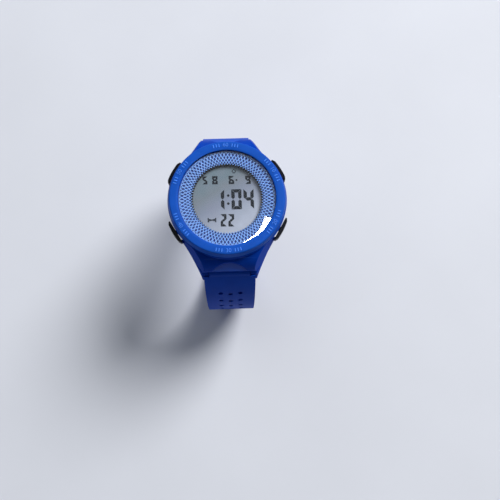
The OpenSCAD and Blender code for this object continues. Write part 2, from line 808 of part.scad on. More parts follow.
module strap_long() {
    color("royalblue") mirror([0, 1, 0]) difference() {
        intersection() {
            union() {
                strap_head();
                across(-20, 20) sector(long_c, long_r, long_r - strap_t, -long_sweep, 0);
            }
            strap_width(long_half_w);
            union() {
                translate([-30, 0, side_z - 8]) cube([60, 60, 60]);
                translate([0, long_c[0] + tail_tip_r, floor_z - 1]) cylinder(r = tail_tip_r, h = 50);
                translate([-30, long_c[0] + tail_tip_r, floor_z - 1]) cube([60, 60, 50]);
            }
        }
        bar_hole();
        for (i = [0 : hole_rows - 1]) hole_row(i);
    }
}

// Turns the short piece and what it carries in about its bar
module folded() {
    translate([0, bar_y, bar_z]) rotate([-short_fold, 0, 0]) translate([0, -bar_y, -bar_z]) children();
}

module strap_short() {
    color("royalblue") folded() difference() {
        union() {
            intersection() {
                union() {
                    strap_head();
                    across(-20, 20) sector(short_c, short_r, short_r - strap_t, -short_sweep, 0);
                }
                strap_width(short_half_w);
            }
            across(-tail_half_w, tail_half_w) translate(pin_c) circle(r = end_r);
        }
        bar_hole();
        across(-20, 20) translate(pin_c) circle(r = pin_r + bar_gap);
        across(-tongue_w / 2 - 0.3, tongue_w / 2 + 0.3) translate(pin_c) circle(r = end_r + 0.6);
    }
}

module spring_bar() {
    across(-lug_span / 2 + 0.1, lug_span / 2 - 0.1) translate([bar_y, bar_z]) circle(r = bar_r);
    across(-lug_span / 2 - tip_len, lug_span / 2 + tip_len) translate([bar_y, bar_z]) circle(r = tip_r);
}

module spring_bar_long() {
    color("silver") mirror([0, 1, 0]) spring_bar();
}

module spring_bar_short() {
    color("silver") spring_bar();
}

// Places children with their origin on the buckle pin, +Y along the frame and +Z out of the loop
module at_buckle() {
    folded() translate([0, pin_c[0], pin_c[1]])
        rotate([180 + 90 - short_sweep - buckle_turn, 0, 0]) children();
}

module buckle_pin() {
    color("silver") at_buckle() across(-buckle_half_w - buckle_bar, buckle_half_w + buckle_bar)
        circle(r = pin_r);
}

module rounded_frame(half_w, y0, y1, r) {
    for (x = [-1, 1]) translate([x * (half_w - r), y1 - r]) circle(r = r);
    translate([-half_w + r, y0]) square([2 * (half_w - r), y1 - y0]);
    translate([-half_w, y0]) square([2 * half_w, y1 - y0 - r]);
}

module buckle_frame() {
    outer = buckle_half_w + buckle_bar;
    color("silver") at_buckle() difference() {
        union() {
            translate([0, 0, -buckle_t / 2]) linear_extrude(buckle_t)
                rounded_frame(outer, 0, buckle_len, buckle_corner);
            both_sides() across(buckle_half_w, outer) circle(r = buckle_t / 2);
        }
        translate([0, 0, -5]) linear_extrude(10)
            rounded_frame(buckle_half_w, -5, buckle_len - buckle_bar, buckle_corner - 2);
        across(-20, 20) circle(r = pin_r);
        translate([0, buckle_len - buckle_bar / 2, buckle_t / 2]) cube([tongue_w + 0.6, 8, 1], center = true);
    }
}

module buckle_tongue() {
    color("silver") at_buckle() difference() {
        union() {
            across(-tongue_w / 2, tongue_w / 2) circle(r = pin_r + 0.9);
            translate([-tongue_w / 2, 0, buckle_t / 2 - 0.48]) cube([tongue_w, buckle_len - 0.2, tongue_t]);
        }
        across(-20, 20) circle(r = pin_r + bar_gap);
    }
}

// Loop round the strap, with room on its outer side for the tail
module strap_keeper() {
    in_r = short_r - strap_t - keeper_gap;
    out_r = short_r + strap_t + 2 * keeper_gap;
    half = keeper_w / short_r * 90 / PI;
    color("royalblue") folded() difference() {
        across(-tail_half_w - keeper_gap - keeper_t, tail_half_w + keeper_gap + keeper_t)
            sector(short_c, out_r + keeper_t, in_r - keeper_t, -keeper_angle - half, -keeper_angle + half);
        across(-tail_half_w - keeper_gap, tail_half_w + keeper_gap)
            sector(short_c, out_r, in_r, -keeper_angle - 2 * half, -keeper_angle + 2 * half);
    }
}

case_body();
bezel_ring();
crystal();
crystal_gasket();
dial_ring();
lcd_panel();
backlight_panel();
zebra_connectors();
module_frame();
circuit_board();
chip_blob();
switch_contacts();
quartz_can();
battery();
battery_clip();
battery_holder();
buzzer_disc();
buzzer_spring();
case_back();
case_back_gasket();
case_back_screws();
button(BUTTONS[0][1]);  // button_upper_right
button(BUTTONS[1][1]);  // button_lower_right
button(BUTTONS[2][1]);  // button_lower_left
button(BUTTONS[3][1]);  // button_upper_left
shaft_clip(BUTTONS[0][1]);  // clip_upper_right
shaft_clip(BUTTONS[1][1]);  // clip_lower_right
shaft_clip(BUTTONS[2][1]);  // clip_lower_left
shaft_clip(BUTTONS[3][1]);  // clip_upper_left
button_springs();
button_seals();
spring_bar_long();
spring_bar_short();
strap_long();
strap_short();
buckle_pin();
buckle_frame();
buckle_tongue();
strap_keeper();
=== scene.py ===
import math

import bmesh
import bpy
from mathutils import Matrix, Vector


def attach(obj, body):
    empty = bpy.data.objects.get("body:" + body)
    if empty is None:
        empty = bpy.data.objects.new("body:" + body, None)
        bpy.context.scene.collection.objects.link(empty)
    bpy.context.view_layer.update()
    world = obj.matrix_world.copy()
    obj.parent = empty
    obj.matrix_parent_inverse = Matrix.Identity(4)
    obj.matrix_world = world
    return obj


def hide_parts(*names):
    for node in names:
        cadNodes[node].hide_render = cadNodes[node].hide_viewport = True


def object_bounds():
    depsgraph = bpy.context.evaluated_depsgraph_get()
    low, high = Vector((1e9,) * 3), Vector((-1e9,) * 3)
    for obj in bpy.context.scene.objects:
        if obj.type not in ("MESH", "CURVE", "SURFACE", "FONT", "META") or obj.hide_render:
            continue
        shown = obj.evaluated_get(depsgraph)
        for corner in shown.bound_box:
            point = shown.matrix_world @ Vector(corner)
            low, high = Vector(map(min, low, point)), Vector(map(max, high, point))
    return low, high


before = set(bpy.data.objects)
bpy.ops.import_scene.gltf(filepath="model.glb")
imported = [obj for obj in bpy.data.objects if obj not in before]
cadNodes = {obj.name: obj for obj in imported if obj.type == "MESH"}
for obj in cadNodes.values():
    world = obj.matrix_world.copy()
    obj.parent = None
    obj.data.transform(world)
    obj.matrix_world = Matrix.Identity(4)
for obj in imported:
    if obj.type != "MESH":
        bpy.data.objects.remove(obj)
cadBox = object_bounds()
scene = bpy.context.scene
mm = 0.001
turn = 2 * math.pi
zAxis = Vector((0, 0, 1))
tiny = 1e-4  # a difference below this is rounding

# Camera: lengths in mm, angles in degrees

cameraView = {"lens": 47.68, "sensor": 36, "clipStart": 10.0, "tilt": 10.0, "yaw": 1.3, "roll": 1.8,
              "offset": (-8.843, 17.598, -261.732)}


def placeCamera(view):
    data = bpy.data.cameras.new("photoCamera")
    data.sensor_width, data.lens, data.clip_start = view["sensor"], view["lens"], view["clipStart"] * mm
    camera = bpy.data.objects.new("photoCamera", data)
    scene.collection.objects.link(camera)
    turned = (Matrix.Rotation(math.radians(view["roll"]), 4, "Z")
              @ Matrix.Rotation(math.radians(view["yaw"]), 4, "Y")
              @ Matrix.Rotation(math.radians(-view["tilt"]), 4, "X"))
    camera.matrix_world = (Matrix.Translation(Vector(view["offset"]) * mm) @ turned).inverted()
    scene.camera = camera


placeCamera(cameraView)
scene.view_settings.view_transform = "Standard"

# Finishes: sizes and depths in mm, scales per metre


def shade(colour, factor):
    return tuple(min(1, c * factor) for c in colour) + (1,)


class Port:  # a node's output, which takes part in sums
    def __init__(self, finish, socket):
        self.finish, self.socket = finish, socket

    def sum(self, operation, other, swapped=False):
        first, second = (other, self) if swapped else (self, other)
        return self.finish.add("Math", {"operation": operation}, {0: first, 1: second})

    def __add__(self, other):
        return self.sum("ADD", other)

    def __sub__(self, other):
        return self.sum("SUBTRACT", other)

    def __rsub__(self, other):
        return self.sum("SUBTRACT", other, True)

    def __mul__(self, other):
        return self.sum("MULTIPLY", other)

    __radd__, __rmul__ = __add__, __mul__


class Finish:  # one material, or the world, in the making
    def __init__(self, name, store=bpy.data.materials, end="Material"):
        self.block = store.new(name)
        self.block.use_nodes = True
        self.tree = self.block.node_tree
        self.tree.nodes.clear()
        self.end = self.tree.nodes.new("ShaderNodeOutput" + end)

    def feed(self, node, inputs):
        for key, value in inputs.items():
            if isinstance(value, Port):
                self.tree.links.new(value.socket, node.inputs[key])
            else:
                node.inputs[key].default_value = value

    def add(self, kind, settings={}, inputs={}, output=0):
        node = self.tree.nodes.new("ShaderNode" + kind)
        for key, value in settings.items():
            if key == "stops":
                ramp = node.color_ramp.elements
                while len(ramp) < len(value):
                    ramp.new(0.5)
                for element, (place, colour) in zip(ramp, value):
                    element.position, element.color = place, colour
            else:
                setattr(node, key, value)
        self.feed(node, inputs)
        return Port(self, node.outputs[output])

    def place(self, stretch=(1, 1, 1), rotation=(0, 0, 0)):
        here = self.add("TexCoord", output="Object")
        return self.add("Mapping", {}, {"Vector": here, "Scale": stretch, "Rotation": rotation})

    def noise(self, size, detail, stretch=(1, 1, 1), rotation=(0, 0, 0)):  # size of a grain
        return self.add("TexNoise", {}, {"Vector": self.place(stretch, rotation),
                                         "Scale": 1 / (size * mm), "Detail": detail})

    def cells(self, size):  # distance to the nearest of scattered points
        return self.add("TexVoronoi", {}, {"Vector": self.place(), "Scale": 1 / (size * mm)})

    def axis(self, letter):
        here = self.add("TexCoord", output="Object")
        return self.add("SeparateXYZ", {}, {0: here}, "XYZ".index(letter))

    def fromMiddle(self):  # distance from the Z axis, in metres
        x, y = self.axis("X"), self.axis("Y")
        return (x * x + y * y).sum("POWER", 0.5)

    def remap(self, value, low, high, toLow=0.0, toHigh=1.0):
        return self.add("MapRange", {}, {"Value": value, "From Min": low, "From Max": high,
                                         "To Min": toLow, "To Max": toHigh})

    def streaks(self, look):  # thin lines where a stretched noise peaks
        field = self.noise(look["size"], look["detail"], look["stretch"], look["rotation"])
        return self.remap(field, *look["edge"])

    def blend(self, factor, first, second):  # sockets 6 and 7 and output 2 are the node's colours
        return self.add("Mix", {"data_type": "RGBA"}, {0: factor, 6: first, 7: second}, 2)

    def mottle(self, field, colour, shades, span=(0.3, 0.7)):  # darker and paler patches of one colour
        return self.blend(self.remap(field, *span), shade(colour, shades[0]), shade(colour, shades[1]))

    def tint(self, colour, other, strength, field, span):  # another colour where the field is strong
        return self.blend(self.remap(field, *span, 0, strength), colour, other)

    def show(self, shader):
        self.tree.links.new(shader.socket, self.end.inputs[0])
        return self.block

    def surface(self, colour, roughness, height, depth, fixed={}):
        bump = self.add("Bump", {}, {"Height": height, "Distance": depth * mm})
        inputs = {"Base Color": colour, "Roughness": roughness, "Normal": bump, **fixed}
        return self.show(self.add("BsdfPrincipled", {}, inputs))


blueResin = {"colour": (0.008, 0.080, 0.46), "spread": 0.07, "cloudSize": 6.0, "cloudWear": 0.06,
             "grainSize": 0.16, "grainDepth": 0.004, "grainWear": 0.12, "roughness": 0.42,
             "gloss": 0.08, "scuffs": 0.15, "scuffColour": (0.06, 0.16, 0.58, 1), "scuffWear": 0.1,
             "scuffHeight": 0.6,
             "scuffLines": {"size": 0.5, "detail": 4, "stretch": (0.12, 1, 1),
                            "rotation": (0.3, 0.2, 0.7), "edge": (0.66, 0.74)},
             "dust": 0.3, "dustColour": (0.45, 0.5, 0.6, 1), "dustSpacing": 2.1, "dustEdge": 0.035}


def resin(name, look):  # satin moulded resin: clouds, fine grain, faint scuffs and dust
    made = Finish(name)
    clouds, grain = made.noise(look["cloudSize"], 3), made.noise(look["grainSize"], 2)
    scuffs = made.streaks(look["scuffLines"])
    dust = made.remap(made.cells(look["dustSpacing"]), 0.0, look["dustEdge"], 1.0, 0.0)
    colour = made.mottle(clouds, look["colour"], (1 - look["spread"], 1 + look["spread"]))
    colour = made.blend(scuffs * look["scuffs"], colour, look["scuffColour"])
    colour = made.blend(dust * look["dust"], colour, look["dustColour"])
    roughness = (look["roughness"] + look["grainWear"] * (grain - 0.5) + look["scuffWear"] * scuffs
                 + look["cloudWear"] * (clouds - 0.5))
    return made.surface(colour, roughness, grain + look["scuffHeight"] * scuffs, look["grainDepth"],
                        {"Specular IOR Level": look["gloss"]})


bezelBlue = resin("bezelBlue", {**blueResin, "gloss": 0.03})
markBlue = resin("markBlue", {**blueResin, "colour": (0.06, 0.24, 0.86), "roughness": 0.38})
# painted shade: the case body is a darker copy of the blue resin, standing in for the shade below the
# bezel
caseBluePaintedShade = resin("caseBluePaintedShade", {**blueResin, "colour": (0.002, 0.043, 0.37), "gloss": 0.02})
# painted light: the facets are a paler, glossier copy of the case resin, standing in for light on their
# upturned faces
facetBluePaintedLight = resin("facetBluePaintedLight", {**blueResin, "colour": (0.006, 0.074, 0.49), "roughness": 0.3,
                                "gloss": 0.35})
# painted shade: the straps and keeper are a darker copy of the bezel's resin, standing in for the shade
# where they tilt away from the light
strapBluePaintedShade = resin("strapBluePaintedShade", {**blueResin, "colour": (0.002, 0.054, 0.43), "roughness": 0.5,
                                "gloss": 0.04, "cloudSize": 9.0, "dust": 0.5})
buttonBlack = resin("buttonBlack", {**blueResin, "colour": (0.003, 0.004, 0.008), "roughness": 0.34,
                                    "gloss": 0.05, "scuffColour": (0.02, 0.022, 0.03, 1)})
sealBlack = resin("sealBlack", {**blueResin, "colour": (0.014, 0.014, 0.015), "roughness": 0.62,
                                "scuffColour": (0.06, 0.06, 0.06, 1)})
ribLilac = resin("ribLilac", {**blueResin, "colour": (0.18, 0.38, 0.87), "spread": 0.05,
                              "roughness": 0.3, "grainSize": 0.1, "gloss": 0.3, "scuffs": 0.1,
                              "dust": 0.1})
hollowBlue = resin("hollowBlue", {**blueResin, "colour": (0.004, 0.032, 0.25), "roughness": 0.5})
# painted shade: the window's inner wall is near black, standing in for the shadow in the recess above
# the display
windowWallPaintedShade = resin("windowWallPaintedShade", {**blueResin, "colour": (0.001, 0.002, 0.01), "roughness": 0.5,
                                  "gloss": 0.02, "scuffColour": (0.01, 0.02, 0.05, 1), "dust": 0.05})
modulePlastic = resin("modulePlastic", {**blueResin, "colour": (0.62, 0.62, 0.60), "roughness": 0.5,
                                        "scuffColour": (0.75, 0.75, 0.74, 1)})
chipResin = resin("chipResin", {**blueResin, "colour": (0.012, 0.012, 0.013), "roughness": 0.24,
                                "gloss": 0.5, "scuffColour": (0.04, 0.04, 0.04, 1)})

plainSteel = {"colour": (0.62, 0.62, 0.64), "shades": (0.86, 1.06), "roughness": 0.3,
              "brushSize": 0.12, "brushStretch": (0.05, 1, 1), "brushDepth": 0.002, "brushWear": 0.22,
              "stainSize": 3.0, "stainSpan": (0.3, 0.75), "stainWear": 0.12,
              "scratchWear": 0.1, "scratchDepth": 0.5,
              "scratchLines": {"size": 0.35, "detail": 3, "stretch": (0.06, 1, 1),
                               "rotation": (0.4, 0.1, 1.1), "edge": (0.68, 0.74)}}
turnedSteel = {**plainSteel, "shades": (0.9, 1.05), "ringScale": 5200.0, "brushDepth": 0.003,
               "brushWear": 0.2, "stainSize": 4.0, "stainSpan": (0.3, 0.7), "scratchDepth": 0.4,
               "scratchLines": {"size": 0.3, "detail": 3, "stretch": (0.05, 1, 1),
                                "rotation": (0, 0, 0.6), "edge": (0.67, 0.73)}}


def metal(name, look):  # brushed along a line, or round its middle where it has a ringScale
    made = Finish(name)
    if "ringScale" in look:
        brush = made.add("TexNoise", {"noise_dimensions": "1D"},
                         {"W": made.fromMiddle(), "Scale": look["ringScale"], "Detail": 3})
    else:
        brush = made.noise(look["brushSize"], 3, look["brushStretch"])
    stains = made.noise(look["stainSize"], 3)
    scratches = made.streaks(look["scratchLines"])
    colour = made.mottle(stains, look["colour"], look["shades"], look["stainSpan"])
    roughness = (look["roughness"] + look["brushWear"] * (brush - 0.5)
                 + look["stainWear"] * (stains - 0.5) + look["scratchWear"] * scratches)
    return made.surface(colour, roughness, brush - look["scratchDepth"] * scratches,
                        look["brushDepth"], {"Metallic": 1.0})


buckleSteel = metal("buckleSteel", plainSteel)
screwSteel = metal("screwSteel", {**plainSteel, "colour": (0.56, 0.56, 0.58),
                                  "brushStretch": (1, 1, 0.2)})
platedMetal = metal("platedMetal", {**plainSteel, "colour": (0.70, 0.69, 0.66), "roughness": 0.24})
contactBrass = metal("contactBrass", {**plainSteel, "colour": (0.78, 0.56, 0.22), "roughness": 0.27})
backSteel = metal("backSteel", {**turnedSteel, "colour": (0.58, 0.58, 0.60)})
cellSteel = metal("cellSteel", {**turnedSteel, "colour": (0.68, 0.68, 0.69), "roughness": 0.22})

glassLook = {"smearSize": 5.0, "smearSpan": (0.35, 0.75), "roughness": (0.01, 0.025), "ior": 1.5,
             "tint": (0.99, 0.995, 1.0, 1)}


def clearGlass(name, look):  # faint smears keep the gloss uneven
    made = Finish(name)
    smears = made.remap(made.noise(look["smearSize"], 4), *look["smearSpan"], *look["roughness"])
    clear = made.add("BsdfTransparent", {}, {"Color": look["tint"]})
    gloss = made.add("BsdfGlossy", {}, {"Roughness": smears, "Color": (1, 1, 1, 1)})
    # the way out of the glass reflects nothing: the clear shader doesn't bend light
    goingIn = 1 - made.add("NewGeometry", output="Backfacing")
    factor = made.add("Fresnel", {}, {"IOR": look["ior"]}) * goingIn
    return made.show(made.add("MixShader", {}, {0: factor, 1: clear, 2: gloss}))


displayLook = {"lean": 0.6, "reach": (-11.0, 13.0),  # from the dark end to the pale end of a painted light gradient
               "stops": ((0.04, (0.13, 0.195, 0.235, 1)), (0.21, (0.155, 0.196, 0.232, 1)),
                         (0.46, (0.21, 0.248, 0.34, 1)), (1.0, (0.425, 0.475, 0.59, 1))),
               "fleck": 0.1, "fleckColour": (0.25, 0.27, 0.33, 1), "fleckSize": 0.2,
               "fleckSpan": (0.3, 0.7), "fleckWear": 0.1,
               "haze": 0.2, "hazeColour": (0.25, 0.25, 0.33, 1), "hazeSize": 3.5,
               "hazeSpan": (0.35, 0.7), "hazeDepth": 0.002, "roughness": 0.5, "gloss": 0.2}


def displayWithPaintedLight(name, look):  # grey reflective display with a fine fleck, and painted light: paler towards 5 o'clock, darker towards the top left
    made = Finish(name)
    dark, pale = look["reach"]
    # painted light: the colour ramp darkens the display's top left and pales it towards 5 o'clock
    slope = made.remap(made.axis("X") * look["lean"] - made.axis("Y"), dark * mm, pale * mm)
    fleck, haze = made.noise(look["fleckSize"], 2), made.noise(look["hazeSize"], 3)
    colour = made.add("ValToRGB", {"stops": look["stops"]}, {0: slope})
    colour = made.tint(colour, look["fleckColour"], look["fleck"], fleck, look["fleckSpan"])
    colour = made.tint(colour, look["hazeColour"], look["haze"], haze, look["hazeSpan"])
    roughness = look["roughness"] + look["fleckWear"] * (fleck - 0.5)
    return made.surface(colour, roughness, haze, look["hazeDepth"],
                        {"Specular IOR Level": look["gloss"]})


inkLook = {"shades": (0.8, 1.3), "patchSize": 0.7, "patchWear": 0.1, "depth": 0.001,
           "roughness": 0.35, "gloss": 0.05}


def inkFinish(name, colour, look):  # liquid crystal segments, a little uneven in strength
    made = Finish(name)
    patches = made.noise(look["patchSize"], 3)
    roughness = look["roughness"] + look["patchWear"] * (patches - 0.5)
    return made.surface(made.mottle(patches, colour, look["shades"]), roughness, patches,
                        look["depth"], {"Specular IOR Level": look["gloss"]})


boardLook = {"mask": (0.012, 0.085, 0.035, 1), "track": (0.05, 0.20, 0.06, 1), "trackScale": 620.0,
             "trackEdge": (0.05, 0.08), "trackDepth": 0.02, "roughness": 0.3,
             "weave": 0.3, "weaveColour": (0.03, 0.16, 0.07, 1), "weaveSize": 0.3,
             "weaveStretch": (1, 0.2, 1), "weaveSpan": (0.4, 0.7), "weaveWear": 0.1}


def boardFinish(name, look):  # green mask with copper tracks under it
    made = Finish(name)
    toTrack = made.add("TexVoronoi", {"feature": "DISTANCE_TO_EDGE", "distance": "MANHATTAN"},
                       {"Vector": made.place(), "Scale": look["trackScale"]})
    between = made.remap(toTrack, *look["trackEdge"])
    weave = made.noise(look["weaveSize"], 2, look["weaveStretch"])
    colour = made.blend(between, look["track"], look["mask"])
    colour = made.tint(colour, look["weaveColour"], look["weave"], weave, look["weaveSpan"])
    roughness = look["roughness"] + look["weaveWear"] * weave
    return made.surface(colour, roughness, 1 - between, look["trackDepth"])


zebraLook = {"carbon": (0.02, 0.02, 0.022, 1), "rubber": (0.36, 0.35, 0.38, 1), "waveScale": 100.0,
             "waveEdge": (0.35, 0.65), "grainSize": 0.15, "grainWear": 0.15, "grainDepth": 0.006,
             "roughness": 0.6}


def layeredRubber(name, look):  # elastomer connector, layered carbon and rubber
    made = Finish(name)
    wave = made.add("TexWave", {"bands_direction": "X"},
                    {"Vector": made.place(), "Scale": look["waveScale"]})
    grain = made.noise(look["grainSize"], 2)
    colour = made.blend(made.remap(wave, *look["waveEdge"]), look["carbon"], look["rubber"])
    roughness = look["roughness"] + look["grainWear"] * (grain - 0.5)
    return made.surface(colour, roughness, grain, look["grainDepth"])


filmLook = {"film": (0.76, 0.86, 0.82, 1), "dot": (0.62, 0.80, 0.74, 1), "dotSpacing": 0.6,
            "dotEdge": (0.2, 0.32), "dotDepth": 0.004, "smudgeSize": 3.0, "smudgeWear": 0.2,
            "roughness": 0.25}


def filmFinish(name, look):  # pale backlight film with a dot screen
    made = Finish(name)
    dots = made.remap(made.cells(look["dotSpacing"]), *look["dotEdge"])
    smudges = made.noise(look["smudgeSize"], 3)
    roughness = look["roughness"] + look["smudgeWear"] * smudges
    return made.surface(made.blend(dots, look["dot"], look["film"]), roughness, dots, look["dotDepth"])


crystalGlass = clearGlass("crystalGlass", glassLook)
displayGrey = displayWithPaintedLight("displayGrey", displayLook)
segmentInk = inkFinish("segmentInk", (0.006, 0.009, 0.014), inkLook)
paleInk = inkFinish("paleInk", (0.025, 0.032, 0.045), inkLook)
boardGreen = boardFinish("boardGreen", boardLook)
zebraRubber = layeredRubber("zebraRubber", zebraLook)
backlightFilm = filmFinish("backlightFilm", filmLook)

print("finishes made")

# CAD nodes that keep their shape

buttonPlaces = ("upper_right", "lower_right", "lower_left", "upper_left")
nodeFinish = {
    "crystal_gasket": sealBlack, "backlight_panel": backlightFilm, "zebra_connectors": zebraRubber,
    "module_frame": modulePlastic, "circuit_board": boardGreen, "chip_blob": chipResin,
    "switch_contacts": contactBrass, "quartz_can": platedMetal, "battery": cellSteel,
    "battery_clip": platedMetal, "battery_holder": modulePlastic, "buzzer_disc": contactBrass,
    "buzzer_spring": platedMetal, "case_back": backSteel, "case_back_gasket": sealBlack,
    "case_back_screws": screwSteel, "button_springs": screwSteel, "button_seals": sealBlack,
    "spring_bar_long": screwSteel, "spring_bar_short": screwSteel, "buckle_pin": buckleSteel,
    **{"clip_" + place: screwSteel for place in buttonPlaces}}
for name, finish in nodeFinish.items():
    materials = cadNodes[name].data.materials
    materials.clear()
    materials.append(finish)

print("nodes dressed")

# Pieces, modelled in mm: tools that several of them use

ringSteps = 192  # facets round a turned piece


def merge(shape, gap=0.0005):
    bmesh.ops.remove_doubles(shape, verts=shape.verts[:], dist=gap)


def faceOut(shape):
    bmesh.ops.recalc_face_normals(shape, faces=shape.faces[:])


def only(kind, geometry):  # the vertices, edges or faces of a mixed list
    return [g for g in geometry if isinstance(g, kind)]


def middle(edge):
    return (edge.verts[0].co + edge.verts[1].co) / 2


def ringProfile(points, closed=True):  # a profile in (radius, height) turned about Z
    shape = bmesh.new()
    corners = [shape.verts.new((r, 0, z)) for r, z in points]
    last = len(corners) if closed else len(corners) - 1
    edges = [shape.edges.new((corners[i], corners[(i + 1) % len(corners)])) for i in range(last)]
    bmesh.ops.spin(shape, geom=corners + edges, cent=(0, 0, 0), axis=zAxis, angle=turn,
                   steps=ringSteps, use_merge=True)
    merge(shape)
    faceOut(shape)
    return shape


def bevelEdges(shape, edges, width, segments):
    bmesh.ops.bevel(shape, geom=edges, offset=width, offset_type="OFFSET", segments=segments,
                    profile=0.5, affect="EDGES", material=-1, clamp_overlap=True)


def roundEdges(shape, width, segments, angle, pick=None):  # edges that turn by more than the angle
    edges = [e for e in shape.edges if e.is_manifold and e.calc_face_angle(0) > math.radians(angle)
             and (pick is None or pick(middle(e)))]
    bevelEdges(shape, edges, width, segments)


def makeObject(name, shape, finishes):
    mesh = bpy.data.meshes.new(name)
    shape.to_mesh(mesh)
    shape.free()
    for finish in finishes:
        mesh.materials.append(finish)
    thing = bpy.data.objects.new(name, mesh)
    scene.collection.objects.link(thing)
    return thing


def finishPiece(name, shape, body, finishes, replaced=(), sharp=35, even=False):
    bmesh.ops.scale(shape, vec=(mm, mm, mm), verts=shape.verts[:])
    piece = makeObject(name, shape, finishes)
    piece.data.shade_smooth()
    piece.data.set_sharp_from_angle(angle=math.radians(sharp))
    if even:
        piece.modifiers.new("evenNormals", "WEIGHTED_NORMAL").keep_sharp = True
    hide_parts(*replaced)
    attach(piece, body)


# Bezel ring with raised numbers and ticks

bezel = {"foot": 9.4, "footIn": 20.7, "footOut": 22.6, "side": 21.8, "top": 13.3, "flat": 19.3,
         "lip": 18.5, "lipHeight": 0.14, "bottom": 13.0, "edgeRound": 0.5, "lipRound": 0.18,
         "footRound": 0.12, "outside": 21.0, "inside": 20.0, "near": 0.1}  # the last three pick edges


def makeBezel(size):
    foot, bottom, top = size["foot"], size["bottom"], size["top"]
    outside, inside, near = size["outside"], size["inside"], size["near"]
    shape = ringProfile([(size["footIn"], foot), (size["footOut"], foot), (size["side"], top),
                         (size["flat"], top), (size["lip"], bottom + size["lipHeight"]),
                         (size["lip"], bottom), (size["footIn"], bottom)])
    roundEdges(shape, size["edgeRound"], segments=5, angle=12,
               pick=lambda p: p.z > top - near and p.xy.length > outside)
    roundEdges(shape, size["lipRound"], segments=3, angle=8,
               pick=lambda p: p.z > bottom + near and p.xy.length < inside)
    roundEdges(shape, size["footRound"], segments=2, angle=30,
               pick=lambda p: p.z < foot + near and p.xy.length > outside)
    finishPiece("bezelRing", shape, "head", [bezelBlue], ["bezel_ring"], sharp=40)


marks = {"radius": 20.4, "numbers": 6, "unit": 10, "numberSize": 2.15, "curveSteps": 4, "thick": 0.16,
         "top": 13.5, "ticks": 3, "firstTick": 7.0, "tickStep": 3.0,  # degrees from a number's middle
         "tickLength": 1.25, "tickWidth": 0.34}


def numberShape(text, size):
    curve = bpy.data.curves.new("number", "FONT")
    curve.body, curve.size, curve.extrude = text, size["numberSize"], size["thick"]
    curve.align_x = curve.align_y = "CENTER"
    curve.resolution_u = size["curveSteps"]
    holder = bpy.data.objects.new("number", curve)
    scene.collection.objects.link(holder)
    bpy.context.view_layer.update()
    ready = holder.evaluated_get(bpy.context.evaluated_depsgraph_get())
    mesh = bpy.data.meshes.new_from_object(ready)
    bpy.data.objects.remove(holder)
    return mesh


def makeMarks(size):
    shape = bmesh.new()
    lift = Matrix.Translation((0, size["radius"], size["top"] - size["thick"]))
    tick = Matrix.Diagonal((size["tickWidth"], size["tickLength"], 2 * size["thick"], 1))
    for count in range(size["numbers"]):
        clock = count * 360 / size["numbers"]
        spin = Matrix.Rotation(math.radians(-clock), 4, "Z")
        # the numbers of the lower half stand the other way up
        face = Matrix.Rotation(math.pi if 90 < clock < 270 else 0, 4, "Z")
        known = set(shape.verts)
        shape.from_mesh(numberShape(str(size["unit"] * (count or size["numbers"])), size))
        fresh = [v for v in shape.verts if v not in known]
        bmesh.ops.transform(shape, matrix=spin @ lift @ face, verts=fresh)
        for side in (-1, 1):
            for i in range(size["ticks"]):
                angle = side * (size["firstTick"] + i * size["tickStep"])
                tilt = Matrix.Rotation(math.radians(angle), 4, "Z")
                bmesh.ops.create_cube(shape, size=1, matrix=spin @ tilt @ lift @ tick)
    merge(shape)
    finishPiece("bezelNumbers", shape, "head", [markBlue], sharp=30)


makeBezel(bezel)
makeMarks(marks)
print("bezel made")

# Dial ring: a lattice of ribs with sunk diamonds, toothed at its window

lattice = {"count": 80, "lines": (18.25, 15.85, 13.95, 12.3), "low": 11.5, "high": 11.8,
           "inner": 12.9, "rib": 0.185, "wall": 0.07, "deep": 0.35, "toothCut": 0.3, "floor": 9.66,
           "windowLean": 0.15, "rim": (18.4, 11.9), "mergeGap": 0.01}
hollowSlot, windowShadeSlot, rimSlot = 1, 2, 3  # of the ring's finishes, where the ribs keep the first


def growEdges(shape, edges, slot):  # a strip of faces beyond an open border
    grown = bmesh.ops.extrude_edge_only(shape, edges=edges)["geom"]
    for face in only(bmesh.types.BMFace, grown):
        face.material_index = slot
    return only(bmesh.types.BMVert, grown), only(bmesh.types.BMEdge, grown)


def diamondNet(size):  # a flat grid made into diamonds and laid round the dial
    shape = bmesh.new()
    lines = size["lines"]
    bmesh.ops.create_grid(shape, x_segments=size["count"], y_segments=len(lines) - 1, size=1)
    bmesh.ops.poke(shape, faces=shape.faces[:])
    straight = [e for e in shape.edges if abs(e.verts[0].co.x - e.verts[1].co.x) < tiny
                or abs(e.verts[0].co.y - e.verts[1].co.y) < tiny]
    between = [e for e in straight if len(e.link_faces) == 2]
    bmesh.ops.dissolve_edges(shape, edges=between, use_verts=False)
    rise = (size["high"] - size["low"]) / (lines[0] - size["inner"])
    for v in shape.verts:
        angle, across = turn * (v.co.x + 1) / 2, (1 - v.co.y) / 2 * (len(lines) - 1)
        step = min(int(across + tiny), len(lines) - 2)
        r = lines[step] + (lines[step + 1] - lines[step]) * (across - step)
        v.co = (r * math.sin(angle), r * math.cos(angle), size["low"] + rise * (r - size["inner"]))
    merge(shape, size["mergeGap"])
    # diamonds across the seam are still two halves
    seam = [e for e in shape.edges if len(e.link_faces) == 2
            and all(abs(v.co.x) < tiny and v.co.y > 0 for v in e.verts)]
    bmesh.ops.dissolve_edges(shape, edges=seam, use_verts=False)
    inside = [v for v in shape.verts if v.co.xy.length < lines[-1] + size["toothCut"]]
    bmesh.ops.delete(shape, geom=inside, context="VERTS")
    faceOut(shape)
    if sum(f.normal.z for f in shape.faces) < 0:
        bmesh.ops.reverse_faces(shape, faces=shape.faces[:])
    return shape


